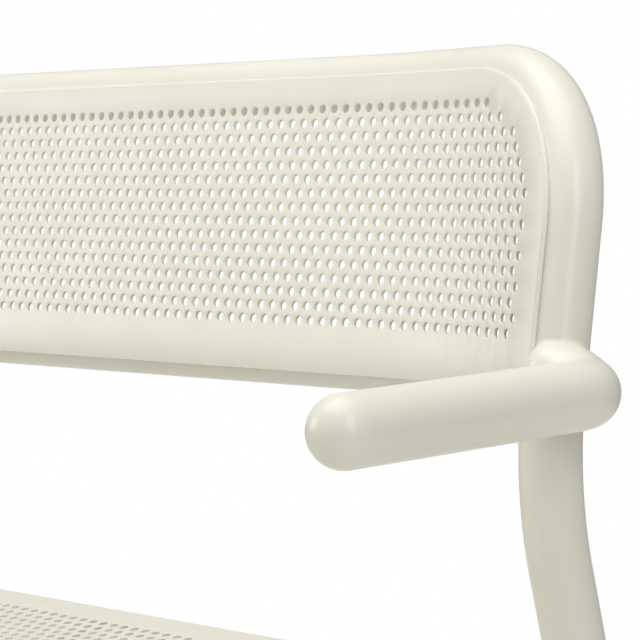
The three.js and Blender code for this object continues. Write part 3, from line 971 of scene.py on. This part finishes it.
def build_floor():
    """A pale round floor whose rim melts into the white surroundings."""
    bm = bmesh.new()
    bmesh.ops.create_circle(bm, cap_ends=True, segments=128, radius=FLOOR_RADIUS)
    mesh = bpy.data.meshes.new("floor")
    bm.to_mesh(mesh)
    bm.free()
    floor = bpy.data.objects.new("floor", mesh)
    bpy.context.scene.collection.objects.link(floor)
    material = bpy.data.materials.new("floor")
    tree = nodes_of(material)
    shader = add_node(tree, "ShaderNodeBsdfPrincipled", Roughness=0.9)
    shader.inputs["Base Color"].default_value = (0.86, 0.86, 0.85, 1)
    where = tree.nodes.new("ShaderNodeTexCoord")
    radius = add_node(tree, "ShaderNodeVectorMath")
    radius.operation = "LENGTH"
    tree.links.new(where.outputs["Object"], radius.inputs[0])
    white = add_node(tree, "ShaderNodeEmission", Strength=1.0)
    white.inputs["Color"].default_value = (1, 1, 1, 1)
    mix = tree.nodes.new("ShaderNodeMixShader")
    tree.links.new(spread_value(tree, radius.outputs["Value"], 0.0, 1.0, *FLOOR_FADE), mix.inputs["Fac"])
    tree.links.new(shader.outputs["BSDF"], mix.inputs[1])
    tree.links.new(white.outputs["Emission"], mix.inputs[2])
    output = tree.nodes.new("ShaderNodeOutputMaterial")
    tree.links.new(mix.outputs["Shader"], output.inputs["Surface"])
    mesh.materials.append(material)


def build_world():
    """White to the eye; as a light it is brightest overhead and dim at the horizon."""
    world = bpy.data.worlds.new("studio")
    bpy.context.scene.world = world
    world.use_nodes = True
    tree = world.node_tree
    tree.nodes.clear()
    where = tree.nodes.new("ShaderNodeTexCoord")
    parts = tree.nodes.new("ShaderNodeSeparateXYZ")
    tree.links.new(where.outputs["Generated"], parts.inputs["Vector"])
    ramp = tree.nodes.new("ShaderNodeValToRGB")
    tree.links.new(spread_value(tree, parts.outputs["Z"], 0.0, 1.0, -1.0, 1.0), ramp.inputs["Fac"])
    stops = ramp.color_ramp.elements
    stops[0].position, stops[0].color = 0.0, (0.75, 0.75, 0.74, 1)
    stops[1].position, stops[1].color = 1.0, (1.0, 1.0, 1.0, 1)
    horizon = stops.new(0.5)
    horizon.color = (0.32, 0.32, 0.314, 1)
    glow = add_node(tree, "ShaderNodeBackground", Strength=0.67)
    tree.links.new(ramp.outputs["Color"], glow.inputs["Color"])
    seen = add_node(tree, "ShaderNodeBackground", Strength=1.0)
    seen.inputs["Color"].default_value = (1, 1, 1, 1)
    path = tree.nodes.new("ShaderNodeLightPath")
    mix = tree.nodes.new("ShaderNodeMixShader")
    tree.links.new(path.outputs["Is Camera Ray"], mix.inputs["Fac"])
    tree.links.new(glow.outputs["Background"], mix.inputs[1])
    tree.links.new(seen.outputs["Background"], mix.inputs[2])
    output = tree.nodes.new("ShaderNodeOutputWorld")
    tree.links.new(mix.outputs["Shader"], output.inputs["Surface"])


def build_lights():
    """Place, target, size and power of each light."""
    middle = (0.2, 0.0, 0.65)
    area_light("overhead", (0.2, -0.4, 2.6), middle, (2.2, 1.8), 28)
    area_light("front_left", (-2.8, -1.9, 1.5), middle, (1.8, 1.5), 32)
    area_light("right_strip", (2.4, -0.85, 1.8), (0.5, 0.1, 0.7), (0.3, 1.7), 15.5)


def build_camera():
    """Above and to the right of the bench's front, close on its right end."""
    data = bpy.data.cameras.new("camera")
    data.sensor_width = 36
    data.lens = LENS
    camera = bpy.data.objects.new("camera", data)
    bpy.context.scene.collection.objects.link(camera)
    camera.location = CAMERA_PLACE
    camera.rotation_euler = (math.radians(90 - CAMERA_DOWN), 0, math.radians(CAMERA_LEFT))
    bpy.context.scene.camera = camera


build_camera()
build_world()
build_lights()
build_floor()
build_frame()
build_arms()
build_sheets()
build_welds()
bpy.context.scene.view_settings.view_transform = "Standard"
